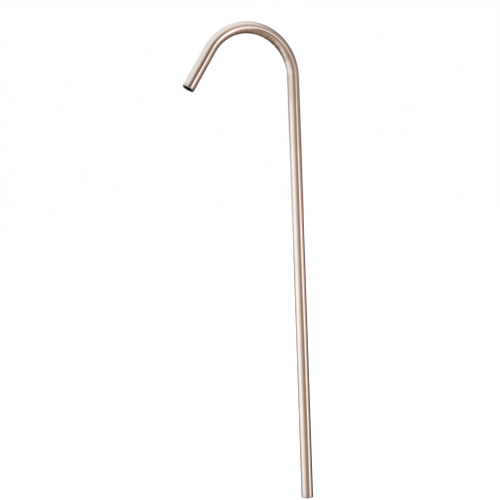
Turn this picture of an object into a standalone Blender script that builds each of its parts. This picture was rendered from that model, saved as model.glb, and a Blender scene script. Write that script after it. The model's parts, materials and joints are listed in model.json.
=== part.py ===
"""Hooked tent stake: one round thin-walled steel tube, straight for most of its length, bent at the top
into an open crook that ends in a short straight arm. Both ends are cut square and left open.

Frame: +Z runs up the shaft, the origin is the centre of the foot's cut end, and the crook lies in the XZ
plane and opens towards -X. Units are metres.
"""

import math

import bmesh
import bpy
from mathutils import Vector

# Driving dimensions.
OUTER_DIAMETER = 0.0080
WALL_THICKNESS = 0.0008
SHAFT_LENGTH = 0.2805  # from the foot to where the bend begins
BEND_RADIUS = 0.0313  # of the tube's centreline
BEND_ANGLE = math.radians(147.4)  # how far the tube turns from straight up
ARM_LENGTH = 0.0297  # straight tube after the bend
RIM_ROUNDING = 0.00015  # what deburring takes off the edges of both cut ends

# How finely the round shapes are divided.
TUBE_SIDES = 32
BEND_STEP = math.radians(5.0)
SHAFT_STEP = 0.020

# Satin stainless steel with a warm tint.
STEEL_COLOUR = (0.80, 0.71, 0.65, 1.0)
STEEL_ROUGHNESS = 0.16
STEEL_METALLIC = 1.0

ROUND_SURFACE_LIMIT = math.radians(30.0)  # sharper edges than this are drawn sharp
RIM_EDGE_LIMIT = math.radians(60.0)  # only the rims' square edges are sharper than this


def clear_scene():
    """Remove every object that the file opened with."""
    for old in list(bpy.data.objects):
        bpy.data.objects.remove(old, do_unlink=True)


def new_collection(name):
    """A collection linked to the scene."""
    collection = bpy.data.collections.new(name)
    bpy.context.scene.collection.children.link(collection)
    return collection


def steel_material():
    """Bare steel, finished with a fine belt that runs round the tube."""
    material = bpy.data.materials.new("satin_steel")
    material.use_nodes = True
    shader = material.node_tree.nodes["Principled BSDF"]
    shader.inputs["Base Color"].default_value = STEEL_COLOUR
    shader.inputs["Roughness"].default_value = STEEL_ROUGHNESS
    shader.inputs["Metallic"].default_value = STEEL_METALLIC
    material.diffuse_color = STEEL_COLOUR
    return material


def shaft_points():
    """Points up the straight shaft, without the one where the bend begins."""
    steps = max(1, math.ceil(SHAFT_LENGTH / SHAFT_STEP))
    return [Vector((0.0, 0.0, SHAFT_LENGTH * step / steps)) for step in range(steps)]


def bend_points():
    """Points round the bend, from the top of the shaft to the start of the arm."""
    centre = Vector((-BEND_RADIUS, 0.0, SHAFT_LENGTH))
    steps = max(1, math.ceil(BEND_ANGLE / BEND_STEP))
    turns = [BEND_ANGLE * step / steps for step in range(steps + 1)]
    return [centre + BEND_RADIUS * Vector((math.cos(turn), 0.0, math.sin(turn))) for turn in turns]


def arm_direction():
    """The way the tube runs where it leaves the bend."""
    return Vector((-math.sin(BEND_ANGLE), 0.0, math.cos(BEND_ANGLE)))


def centreline():
    """The tube's whole route: shaft, bend and arm."""
    bend = bend_points()
    arm_end = bend[-1] + ARM_LENGTH * arm_direction()
    return [*shaft_points(), *bend, arm_end]


def tube_curve(route):
    """A curve object whose bevel is the tube's outer skin, open at both ends."""
    curve = bpy.data.curves.new("bent_tube_route", "CURVE")
    curve.dimensions = "3D"
    curve.bevel_depth = OUTER_DIAMETER / 2
    curve.bevel_resolution = (TUBE_SIDES - 4) // 2
    curve.use_fill_caps = False
    spline = curve.splines.new("POLY")
    spline.points.add(len(route) - 1)
    for point, place in zip(spline.points, route):
        point.co = (*place, 1.0)
    return bpy.data.objects.new("bent_tube_route", curve)


def as_mesh_object(source, name, collection):
    """The evaluated shape of an object as a mesh object of its own; the source is removed."""
    collection.objects.link(source)
    depsgraph = bpy.context.evaluated_depsgraph_get()
    mesh = bpy.data.meshes.new_from_object(source.evaluated_get(depsgraph))
    mesh.name = name
    made = bpy.data.objects.new(name, mesh)
    made.matrix_world = source.matrix_world
    collection.objects.link(made)
    bpy.data.objects.remove(source, do_unlink=True)
    return made


def face_outwards(mesh):
    """Turn the open skin's faces so that the wall grows inwards from it."""
    skin = bmesh.new()
    skin.from_mesh(mesh)
    bmesh.ops.recalc_face_normals(skin, faces=skin.faces)
    skin.to_mesh(mesh)
    skin.free()


def add_wall(tube):
    """Give the skin its wall, measured inwards, which leaves the bore open from end to end."""
    wall = tube.modifiers.new("wall", "SOLIDIFY")
    wall.thickness = WALL_THICKNESS
    wall.offset = -1.0
    wall.use_even_offset = True
    wall.use_rim = True


def deburr_ends(tube):
    """Round the inner and outer edges of both cut ends."""
    rounding = tube.modifiers.new("deburred_rims", "BEVEL")
    rounding.width = RIM_ROUNDING
    rounding.segments = 2
    rounding.limit_method = "ANGLE"
    rounding.angle_limit = RIM_EDGE_LIMIT


def shade_round(mesh):
    """Smooth shading over the round surfaces, with the cut ends kept crisp."""
    mesh.shade_smooth()
    mesh.set_sharp_from_angle(angle=ROUND_SURFACE_LIMIT)


def build_bent_tube(collection):
    """The whole stake: shaft, crook and arm are one length of tube."""
    tube = as_mesh_object(tube_curve(centreline()), "bent_tube", collection)
    face_outwards(tube.data)
    tube.data.materials.clear()
    tube.data.materials.append(steel_material())
    shade_round(tube.data)
    add_wall(tube)
    deburr_ends(tube)
    return tube


clear_scene()
build_bent_tube(new_collection("tent_stake"))
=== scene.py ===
"""A hooked tent stake, bent from one length of thin-walled steel tube, standing on a pale studio floor.

Units are metres. +Z runs up the shaft, and the crook lies in the XZ plane and opens towards -X.
"""

import json
import math

import bpy
import numpy as np
from mathutils import Matrix, Vector


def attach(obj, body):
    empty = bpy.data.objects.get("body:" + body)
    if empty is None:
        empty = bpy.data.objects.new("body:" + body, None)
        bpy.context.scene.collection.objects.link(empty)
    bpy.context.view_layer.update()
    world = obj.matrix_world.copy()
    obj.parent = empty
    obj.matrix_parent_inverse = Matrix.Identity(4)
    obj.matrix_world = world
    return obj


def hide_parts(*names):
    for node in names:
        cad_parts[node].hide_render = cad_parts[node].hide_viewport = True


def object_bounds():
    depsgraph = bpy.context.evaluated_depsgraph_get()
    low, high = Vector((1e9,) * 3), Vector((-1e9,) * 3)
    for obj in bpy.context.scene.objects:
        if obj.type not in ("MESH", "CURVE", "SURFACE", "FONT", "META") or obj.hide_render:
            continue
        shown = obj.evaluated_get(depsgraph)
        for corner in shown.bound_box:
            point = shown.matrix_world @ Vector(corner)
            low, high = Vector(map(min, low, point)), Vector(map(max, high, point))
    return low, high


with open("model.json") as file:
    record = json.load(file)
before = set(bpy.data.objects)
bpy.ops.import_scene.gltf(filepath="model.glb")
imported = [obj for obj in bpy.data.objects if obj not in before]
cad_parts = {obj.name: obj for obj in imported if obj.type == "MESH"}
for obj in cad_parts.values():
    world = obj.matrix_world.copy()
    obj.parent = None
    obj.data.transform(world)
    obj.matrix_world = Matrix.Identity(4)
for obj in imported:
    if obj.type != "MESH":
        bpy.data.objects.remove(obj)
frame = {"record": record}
cad_low, cad_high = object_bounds()


# ---------------------------------------------------------------------------------------------------
# The route of the tube. The stake is one length of tube that was polished straight, then drawn round a
# former by about 147 degrees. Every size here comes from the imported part: its box, and the plane of the
# cut at the arm's end.

mounts = {mount["name"]: mount for mount in frame["record"]["mounts"]}
arm_way = Vector(mounts["arm_end_face"]["axis"]).normalized()
arm_end = Vector(mounts["arm_end_face"]["pos_m"])
arm_end.y = 0.0  # the mount's point is on the rim, straight to the side of the axis

outer_radius = (cad_high.y - cad_low.y) / 2
axis_top = cad_high.z - outer_radius
bend_angle = math.atan2(-arm_way.x, arm_way.z)
turn_cos, turn_sin = math.cos(bend_angle), math.sin(bend_angle)
bend_radius = ((axis_top - arm_end.z) * turn_sin - arm_end.x * turn_cos) / (turn_cos + turn_sin - 1)
shaft_length = axis_top - bend_radius
bend_centre = Vector((-bend_radius, 0.0, shaft_length))
bend_end = bend_centre + bend_radius * Vector((turn_cos, 0.0, turn_sin))
bend_length = bend_radius * bend_angle
bend_stop = shaft_length + bend_length
arm_length = (arm_end - bend_end).length
tube_length = bend_stop + arm_length


def route_frames(along):
    """Places on the axis, and the way to the outside of the bend, at distances from the foot."""
    turn = np.clip((along - shaft_length) / bend_radius, 0.0, bend_angle)
    outside = np.stack([np.cos(turn), 0 * turn, np.sin(turn)], axis=1)
    forward = np.stack([-np.sin(turn), 0 * turn, np.cos(turn)], axis=1)
    straight = np.minimum(along, shaft_length) - shaft_length
    straight = straight + np.maximum(along - bend_stop, 0.0)
    place = np.array(bend_centre) + bend_radius * outside + straight[:, None] * forward
    return place, outside


# ---------------------------------------------------------------------------------------------------
# The tube itself: 8 mm stainless steel tube with a 0.8 mm wall. Both ends are sawn square and deburred,
# the bore is open, and the bend has flattened the section a little and left shallow ripples on its
# inner side, where the wall was pressed together.

WALL_THICKNESS = 0.0008
RIM_ROUNDING = 0.00030
RIM_MARGIN = 2 * RIM_ROUNDING  # from each end to the nearest ring of the plain outside
RIM_STEPS = 5
SIDES = 96
STRAIGHT_RING_GAP = 0.0025
BEND_RING_GAP = 0.0003
BORE_RING_GAP = 0.0020
BEND_FLATTENING = 0.010  # share of the radius lost across the bend
BEND_RUN_IN = 0.006  # the flattening starts this far before the bend and is full this far into it
STRAIN_RUN_IN = 0.022  # the pressed wall's marks have their full strength this far into the bend
RIPPLE_HEIGHT = 0.0000015
RIPPLE_LENGTH = 0.0011
OUTSIDE, CUT_END, BORE = range(3)  # the tube's three finishes


def steps_between(start, stop, gap):
    """Evenly spaced distances from start to stop, without stop."""
    count = max(1, math.ceil(abs(stop - start) / gap))
    return list(np.linspace(start, stop, count + 1)[:-1])


def rim_profile(end, way):
    """(distance, radius) round a cut end, from the outer wall to the bore. way is +1 or -1."""
    outer = []
    for turn in np.linspace(0.0, math.pi / 2, RIM_STEPS + 1):
        short_of_end = RIM_ROUNDING * (1 - math.sin(turn))
        lowered = RIM_ROUNDING * (1 - math.cos(turn))
        outer.append((end - way * short_of_end, outer_radius - lowered))
    inner = [(along, 2 * outer_radius - WALL_THICKNESS - radius) for along, radius in reversed(outer)]
    return outer + inner


def wall_profile():
    """The closed outline of the wall, as (distance from the foot, radius, finish) for each ring."""
    last_full_ring = tube_length - RIM_MARGIN
    outside = steps_between(RIM_MARGIN, shaft_length - BEND_RUN_IN, STRAIGHT_RING_GAP)
    outside += steps_between(shaft_length - BEND_RUN_IN, bend_stop + BEND_RUN_IN, BEND_RING_GAP)
    outside += steps_between(bend_stop + BEND_RUN_IN, last_full_ring, STRAIGHT_RING_GAP)
    outside.append(last_full_ring)
    bore = steps_between(tube_length - RIM_ROUNDING, RIM_ROUNDING, BORE_RING_GAP)[1:]
    rings = [(along, outer_radius, OUTSIDE) for along in outside]
    rings += [(*ring, CUT_END) for ring in rim_profile(tube_length, 1)]
    rings += [(along, outer_radius - WALL_THICKNESS, BORE) for along in bore]
    rings += [(*ring, CUT_END) for ring in reversed(rim_profile(0.0, -1))]
    return rings


def smooth_step(value):
    """0 to 1 with no corner at either end."""
    value = np.clip(value, 0.0, 1.0)
    return value * value * (3 - 2 * value)


def bend_share(along):
    """0 on the straight tube and 1 in the bend."""
    rise = (along - shaft_length + BEND_RUN_IN) / (2 * BEND_RUN_IN)
    fall = (bend_stop + BEND_RUN_IN - along) / (2 * BEND_RUN_IN)
    return smooth_step(rise) * smooth_step(fall)


def strain_share(along):
    """0 on the straight tube and at both ends of the bend, and 1 in the middle of the bend."""
    rise = (along - shaft_length) / STRAIN_RUN_IN
    fall = (bend_stop - along) / STRAIN_RUN_IN
    return smooth_step(rise) * smooth_step(fall)


def skin_faces(ring_count):
    """Quads between each ring and the next. The last ring joins the first, which closes the wall."""
    ring_at = np.arange(ring_count)[:, None]
    side_at = np.arange(SIDES)[None, :]
    next_ring = (ring_at + 1) % ring_count
    next_side = (side_at + 1) % SIDES
    corners = [
        ring_at * SIDES + side_at,
        ring_at * SIDES + next_side,
        next_ring * SIDES + next_side,
        next_ring * SIDES + side_at,
    ]
    return np.stack(np.broadcast_arrays(*corners), axis=-1).reshape(-1, 4)


def face_finishes(ring_finishes):
    """The finish of every quad. Next to a cut end, a quad takes the finish of its other ring."""
    following = np.roll(ring_finishes, -1)
    other = ring_finishes + following - CUT_END
    bands = np.where(ring_finishes == following, ring_finishes, other)
    return np.repeat(bands, SIDES).astype(np.int32)


def tube_mesh():
    """The wall's outline turned round the bent axis, as one closed skin of quads."""
    rings = wall_profile()
    along = np.array([ring[0] for ring in rings])
    radius = np.array([ring[1] for ring in rings])[:, None]
    turn = np.arange(SIDES) * (2 * math.pi / SIDES)
    place, outside = route_frames(along)
    bent = bend_share(along)[:, None]
    pressed = strain_share(along)[:, None] * np.clip(-np.cos(turn), 0.0, 1.0) ** 2
    ripple = RIPPLE_HEIGHT * np.sin(2 * math.pi * along / RIPPLE_LENGTH)[:, None] * pressed
    across = (radius * (1 - BEND_FLATTENING * bent) + ripple) * np.cos(turn)
    sideways = radius * np.sin(turn)
    points = place[:, None, :] + across[:, :, None] * outside[:, None, :]
    points[:, :, 1] -= sideways
    mesh = bpy.data.meshes.new("bent_tube_skin")
    mesh.from_pydata(points.reshape(-1, 3).tolist(), [], skin_faces(len(rings)).tolist())
    mesh.polygons.foreach_set("material_index", face_finishes(np.array([ring[2] for ring in rings])))

    # Where each point lay before the tube was bent, and how hard the wall was pressed there.
    unbent = [radius * np.cos(turn), sideways, np.broadcast_to(along[:, None], across.shape)]
    straight = mesh.attributes.new("straight_tube", "FLOAT_VECTOR", "POINT")
    straight.data.foreach_set("vector", np.stack(unbent, axis=-1).astype(np.float32).ravel())
    strained = mesh.attributes.new("strained", "FLOAT", "POINT")
    strained.data.foreach_set("value", pressed.astype(np.float32).ravel())
    mesh.shade_smooth()
    mesh.update()
    return mesh


class Wire:
    """One output of a node. Arithmetic on a wire adds the Math nodes for it."""

    def __init__(self, graph, socket):
        self.graph = graph
        self.socket = socket

    def math(self, operation, *others):
        values = dict(enumerate([self, *others]))
        return self.graph.add("ShaderNodeMath", {"operation": operation}, values)

    def __add__(self, other):
        return self.math("ADD", other)

    def __radd__(self, other):
        return self.math("ADD", other)

    def __mul__(self, other):
        return self.math("MULTIPLY", other)

    def __rmul__(self, other):
        return self.math("MULTIPLY", other)

    def __sub__(self, other):
        return self.math("SUBTRACT", other)

    def __rsub__(self, other):
        return (self * -1) + other

    def between(self, low, high):
        """0 at low, 1 at high, and smooth in between. low may be the larger."""
        limits = {"Value": self, "From Min": low, "From Max": high}
        return self.graph.add("ShaderNodeMapRange", {"interpolation_type": "SMOOTHSTEP"}, limits)


class Graph:
    """The node tree of a material or of the world."""

    MIX_SHARE, MIX_FIRST, MIX_SECOND = 0, 6, 7  # the Mix node's inputs when it mixes colours
    MIX_RESULT = 2  # and its output

    def __init__(self, owner):
        owner.use_nodes = True
        self.nodes = owner.node_tree.nodes
        self.links = owner.node_tree.links

    def add(self, kind, settings, values, output=0):
        """A node of any kind: its settings first, then what its sockets hold or are linked to."""
        node = self.nodes.new(kind)
        for name, value in settings.items():
            setattr(node, name, value)
        self.fill(node, values)
        return Wire(self, node.outputs[output])

    def fill(self, node, values):
        for name, value in values.items():
            if isinstance(value, Wire):
                self.links.new(value.socket, node.inputs[name])
            else:
                node.inputs[name].default_value = value

    def attribute(self, name, output):
        return self.add("ShaderNodeAttribute", {"attribute_name": name}, {}, output)

    def noise(self, place, scale, detail=2.0, roughness=0.5):
        """Noise from 0 to 1 whose cells are 1 / scale across, each way."""
        stretched = self.add("ShaderNodeVectorMath", {"operation": "MULTIPLY"}, {0: place, 1: scale})
        values = {"Vector": stretched, "Scale": 1.0, "Detail": detail, "Roughness": roughness}
        return self.add("ShaderNodeTexNoise", {}, values)

    def mix(self, share, first, second):
        """A colour between two, as much of the second as share says."""
        values = {self.MIX_SHARE: share, self.MIX_FIRST: first, self.MIX_SECOND: second}
        return self.add("ShaderNodeMix", {"data_type": "RGBA"}, values, self.MIX_RESULT)

    def bump(self, height, distance):
        return self.add("ShaderNodeBump", {}, {"Height": height, "Distance": distance})


def finished(name, paint):
    """A new material; paint says what goes into each socket of its one shader."""
    material = bpy.data.materials.new(name)
    graph = Graph(material)
    graph.fill(graph.nodes["Principled BSDF"], paint(graph))
    return material


STEEL_TONE = (0.80, 0.71, 0.65, 1.0)
STEEL_PALE = (0.85, 0.77, 0.72, 1.0)
STEEL_DEEP = (0.75, 0.65, 0.58, 1.0)
STEEL_EVENNESS = 0.6  # how much of the one tone there is over the pale and deep bands
# Painted shade: the darker colour of the wrinkles on the bend's inner side.
STEEL_WRINKLE_SHADE = (0.46, 0.37, 0.32, 1.0)
# Painted shade: the darker colour of the last few millimetres at each end.
STEEL_END_SHADE = (0.55, 0.46, 0.42, 1.0)
STEEL_ROUGHNESS = 0.10  # and what each kind of mark adds to it at most
HAIRLINE_ROUGHNESS = 0.05
SMUDGE_ROUGHNESS = 0.015
SHADED_END_ROUGHNESS = 0.12
SCRATCH_HEIGHT = 0.000002
HAIRLINE_SHARE = 0.4  # of the scratches' height; the belt's wider marks make the rest
SHADED_END_LENGTH = 0.0030  # how far from its ends the tube is painted darker, as painted shade, and made rougher
SHADED_END_EVENNESS = 0.4  # how much of the painted end shade and roughness there is where nothing is smudged

# Cells per metre of the outside's marks: across the tube both ways, then along it.
HAIRLINES = (260.0, 260.0, 5200.0)
BELT_MARKS = (140.0, 140.0, 1100.0)
BANDS = (20.0, 20.0, 60.0)
SMUDGES = (90.0, 90.0, 70.0)
WRINKLES = (60.0, 60.0, 850.0)


def polished_outside(graph):
    """Stainless steel after a fine belt has run round it: rings of scratches, a warm tint, and painted
    shade in the bend's wrinkles and near both ends.
    """
    place = graph.attribute("straight_tube", "Vector")
    strained = graph.attribute("strained", "Fac")
    hairlines = graph.noise(place, HAIRLINES, detail=3.0, roughness=0.6)
    belt_marks = graph.noise(place, BELT_MARKS)
    bands = graph.noise(place, BANDS)
    smudges = graph.noise(place, SMUDGES, detail=3.0, roughness=0.6)
    wrinkles = graph.noise(place, WRINKLES, detail=1.0)
    along = graph.add("ShaderNodeSeparateXYZ", {}, {"Vector": place}, "Z")
    # Painted shade: near both ends the tube is painted darker, and made rougher.
    at_ends = along.between(SHADED_END_LENGTH, 0.0) + along.between(tube_length - SHADED_END_LENGTH, tube_length)
    shaded_ends = at_ends * (SHADED_END_EVENNESS + (1 - SHADED_END_EVENNESS) * smudges)
    banded = graph.mix(bands.between(0.3, 0.7), STEEL_DEEP, STEEL_PALE)
    tone = graph.mix(shaded_ends, graph.mix(STEEL_EVENNESS, banded, STEEL_TONE), STEEL_END_SHADE)
    roughness = STEEL_ROUGHNESS + HAIRLINE_ROUGHNESS * hairlines
    roughness = roughness + SMUDGE_ROUGHNESS * smudges.between(0.45, 0.75) + SHADED_END_ROUGHNESS * shaded_ends
    scratches = HAIRLINE_SHARE * hairlines + (1 - HAIRLINE_SHARE) * belt_marks
    return {
        # Painted shade: darker stripes in the wrinkles on the bend's inner side, where the wall was
        # pressed.
        "Base Color": graph.mix(strained * wrinkles.between(0.44, 0.60), tone, STEEL_WRINKLE_SHADE),
        "Roughness": roughness,
        "Metallic": 1.0,
        "Normal": graph.bump(scratches, SCRATCH_HEIGHT),
    }


# Painted shade: the cut ends are painted much darker than the outside, which draws a dark line round each
# rim.
END_SHADE_PALE = (0.46, 0.38, 0.34, 1.0)
END_SHADE_DEEP = (0.30, 0.23, 0.20, 1.0)
END_ROUGHNESS = 0.26
END_MARK_ROUGHNESS = 0.14
END_MARK_HEIGHT = 0.000008
END_MARKS = (2500.0, 2500.0, 9000.0)  # cells per metre, across the tube and along it


def deburred_end(graph):
    """The sawn ends after deburring: duller metal with a fine grain, painted darker as painted shade
    round the rim.
    """
    place = graph.attribute("straight_tube", "Vector")
    marks = graph.noise(place, END_MARKS)
    return {
        "Base Color": graph.mix(marks, END_SHADE_DEEP, END_SHADE_PALE),
        "Roughness": END_ROUGHNESS + END_MARK_ROUGHNESS * marks,
        "Metallic": 1.0,
        "Normal": graph.bump(marks, END_MARK_HEIGHT),
    }


# Painted shade: the bore is painted near-black, a little lighter or darker at random, and almost without
# gloss.
BORE_SHADE_PALE = (0.022, 0.013, 0.010, 1.0)
BORE_SHADE_DEEP = (0.004, 0.003, 0.003, 1.0)
BORE_ROUGHNESS = 0.55
BORE_GLOSS = 0.02
BORE_SHADE_PATCHES = (300.0, 300.0, 60.0)  # cells per metre, across the tube and along it
DIE_LINES = (3000.0, 3000.0, 30.0)
DIE_LINE_ROUGHNESS = 0.20
DIE_LINE_HEIGHT = 0.00001


def drawn_bore(graph):
    """The inside, left as it was drawn: long faint die lines, painted near-black as painted shade and
    almost without gloss.
    """
    place = graph.attribute("straight_tube", "Vector")
    die_lines = graph.noise(place, DIE_LINES)
    shade_patches = graph.noise(place, BORE_SHADE_PATCHES, detail=3.0)
    return {
        "Base Color": graph.mix(shade_patches, BORE_SHADE_DEEP, BORE_SHADE_PALE),
        "Roughness": BORE_ROUGHNESS + DIE_LINE_ROUGHNESS * die_lines,
        "Specular IOR Level": BORE_GLOSS,
        "Normal": graph.bump(die_lines, DIE_LINE_HEIGHT),
    }


tube = bpy.data.objects.new("stake_tube", tube_mesh())
bpy.context.scene.collection.objects.link(tube)
tube.data.materials.append(finished("brushed_steel_outside", polished_outside))
tube.data.materials.append(finished("deburred_steel_end", deburred_end))
tube.data.materials.append(finished("drawn_steel_bore", drawn_bore))
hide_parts("bent_tube")
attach(tube, "root")


# ---------------------------------------------------------------------------------------------------
# The floor: a plain white sheet that the stake stands on. It glows a little, so that it looks as white
# as the backdrop, and the tube does not mirror it.

FLOOR_SIZE = 12.0
FLOOR_DROP = 0.0001  # keeps the floor just clear of the foot
FLOOR_TONE = (0.86, 0.86, 0.86, 1.0)
FLOOR_ROUGHNESS = 0.9
FLOOR_GLOW = 0.6


def pale_floor(graph):
    return {
        "Base Color": FLOOR_TONE,
        "Roughness": FLOOR_ROUGHNESS,
        "Emission Color": (1.0, 1.0, 1.0, 1.0),
        "Emission Strength": FLOOR_GLOW,
    }


half = FLOOR_SIZE / 2
floor_mesh = bpy.data.meshes.new("floor")
floor_corners = [(-half, -half), (half, -half), (half, half), (-half, half)]
floor_mesh.from_pydata([(x, y, -FLOOR_DROP) for x, y in floor_corners], [], [(0, 1, 2, 3)])
floor_mesh.materials.append(finished("pale_floor", pale_floor))
floor = bpy.data.objects.new("floor", floor_mesh)
bpy.context.scene.collection.objects.link(floor)
floor.visible_glossy = False


# ---------------------------------------------------------------------------------------------------
# The camera, a little above the middle of the stake and to its left, tipped by two degrees.

VIEW_AZIMUTH = math.radians(-23.5)
VIEW_ELEVATION = math.radians(3.6)
VIEW_ROLL = math.radians(2.13)
VIEW_DISTANCE = 0.665
AIM_SIDEWAYS = -0.03345  # from the middle of the shaft, in the camera's own directions
AIM_UPWARDS = 0.02634
LENS = 72.0
SENSOR = 36.0

level = math.cos(VIEW_ELEVATION)
back = Vector((math.sin(VIEW_AZIMUTH) * level, -math.cos(VIEW_AZIMUTH) * level, math.sin(VIEW_ELEVATION)))
level_right = Vector((math.cos(VIEW_AZIMUTH), math.sin(VIEW_AZIMUTH), 0.0))
level_up = back.cross(level_right)
right = math.cos(VIEW_ROLL) * level_right - math.sin(VIEW_ROLL) * level_up
up = math.sin(VIEW_ROLL) * level_right + math.cos(VIEW_ROLL) * level_up
aim = Vector((0.0, 0.0, shaft_length / 2)) + AIM_SIDEWAYS * right + AIM_UPWARDS * up
camera_data = bpy.data.cameras.new("camera")
camera_data.lens = LENS
camera_data.sensor_width = SENSOR
camera = bpy.data.objects.new("camera", camera_data)
axes = Matrix((right, up, back)).transposed().to_4x4()
camera.matrix_world = Matrix.Translation(aim + VIEW_DISTANCE * back) @ axes
bpy.context.scene.collection.objects.link(camera)
bpy.context.scene.camera = camera


# ---------------------------------------------------------------------------------------------------
# The studio: soft light from broad windows with no hard edges, in a dim warm room. The camera itself sees
# only a plain white backdrop.

ROOM_TONE = (0.41, 0.30, 0.225, 1.0)
BACKDROP_TONE = (1.0, 1.0, 1.0, 1.0)
ALL_ROUND = None

# Each window's span round the room, its span upwards, its colour and its lean. Angles are in degrees, and
# those round the room count from the camera's own azimuth towards its right. A window fades in between
# the first two angles of a span and out between the last two. The lean is how far it moves round for each
# degree upwards. Later windows lie over earlier ones.
WINDOWS = {
    "warm floor": (ALL_ROUND, (-200, -190, -70, -40), (0.42, 0.28, 0.19), 0.0),
    "wall on the right": ((38, 48, 76, 98), (2, 11, 50, 60), (0.51, 0.45, 0.43), 0.0),
    "low wall on the right": ((62, 76, 104, 124), (-16, -7, -2, 5), (0.52, 0.44, 0.41), 0.0),
    "low wall on the left": ((-170, -155, -112, -98), (-16, -8, 3, 9), (0.46, 0.41, 0.40), 0.0),
    "wall behind": ((128, 165, 228, 245), (3, 8, 50, 60), (0.60, 0.56, 0.55), 0.0),
    "shadow round the camera": ((-10, 10, 38, 50), (5, 12, 16, 32), (0.16, 0.12, 0.10), 0.0),
    "lit table in front": ((-110, -60, -30, 50), (-70, -44, -36, -20), (0.86, 0.78, 0.77), 0.0),
    "horizon behind left": ((-190, -165, -130, -115), (-5, -2, 1, 4), (0.90, 0.90, 0.93), 0.0),
    "strip on the right": ((34, 45, 58, 84), (-40, -28, -4, 4), (1.02, 0.98, 0.98), -0.3),
    "top of the strip": ((33, 41, 52, 65), (-10, -3, 3, 9), (1.27, 1.21, 1.20), 0.7),
    "core of the strip": ((48, 55, 60, 70), (-30, -16, -6, 6), (1.60, 1.54, 1.55), -0.3),
    "edge of the right wall": ((36, 42, 46, 52), (6, 12, 28, 34), (0.58, 0.51, 0.49), 0.0),
    "ceiling": (ALL_ROUND, (36, 60, 100, 110), (1.01, 1.02, 1.02), 0.0),
    "ceiling in front": ((-60, -20, 40, 90), (30, 50, 64, 80), (1.00, 0.93, 0.85), 0.0),
    "dark wall behind right": ((57, 91, 120, 150), (8, 18, 30, 86), (0.25, 0.19, 0.17), 0.5),
    "broad window on the left": ((-124, -80, -60, 14), (-48, -9, -1, 24), (1.20, 1.25, 1.31), 0.4),
    "upper window on the left": ((-190, -150, -40, 20), (14, 30, 60, 80), (0.96, 0.98, 1.00), 0.0),
    "gap beside the strip": ((10, 26, 32, 40), (-50, -30, -8, 2), (0.31, 0.24, 0.19), -0.3),
    "dark corner behind left": ((-205, -170, -120, -66), (-75, -55, -36, -7), (0.19, 0.14, 0.13), 0.0),
    "dark corner behind right": ((98, 126, 185, 215), (-75, -55, 2, 8), (0.14, 0.095, 0.085), 0.0),
    "core of the dark corner": ((102, 120, 150, 172), (-38, -27, -9, 1), (0.020, 0.010, 0.009), 0.0),
    "window behind": ((160, 168, 192, 200), (-26, -14, 30, 44), (1.20, 1.16, 1.12), 0.0),
}


def covered(angle, span):
    """How much of a window's span covers an angle: 1 inside, 0 outside, soft at both edges."""
    start, full, fading, stop = span
    return angle.between(start, full) * angle.between(stop, fading)


def covered_round(angle, span):
    """The same for an angle round the room, where a span may pass straight behind the stake."""
    middle = (span[0] + span[3]) / 2
    turned = (angle - middle).math("WRAP", 180.0, -180.0)
    return covered(turned, [edge - middle for edge in span])


world = bpy.data.worlds.new("studio")
studio = Graph(world)
way = studio.add("ShaderNodeTexCoord", {}, {}, "Generated")
parts = studio.add("ShaderNodeSeparateXYZ", {}, {"Vector": way})
along_x, along_y, along_z = (Wire(studio, output) for output in parts.socket.node.outputs)
azimuth = along_x.math("ARCTAN2", along_y * -1).math("DEGREES") - math.degrees(VIEW_AZIMUTH)
elevation = along_z.math("ARCSINE").math("DEGREES")
light = ROOM_TONE
for around, upward, tone, lean in WINDOWS.values():
    share = covered(elevation, upward)
    if around is not ALL_ROUND:
        share = share * covered_round(azimuth - elevation * lean, around)
    light = studio.mix(share, light, (*tone, 1.0))
seen = studio.add("ShaderNodeLightPath", {}, {}, "Is Camera Ray")
studio.fill(studio.nodes["Background"], {"Color": studio.mix(seen, light, BACKDROP_TONE)})
bpy.context.scene.world = world
bpy.context.scene.view_settings.view_transform = "Standard"
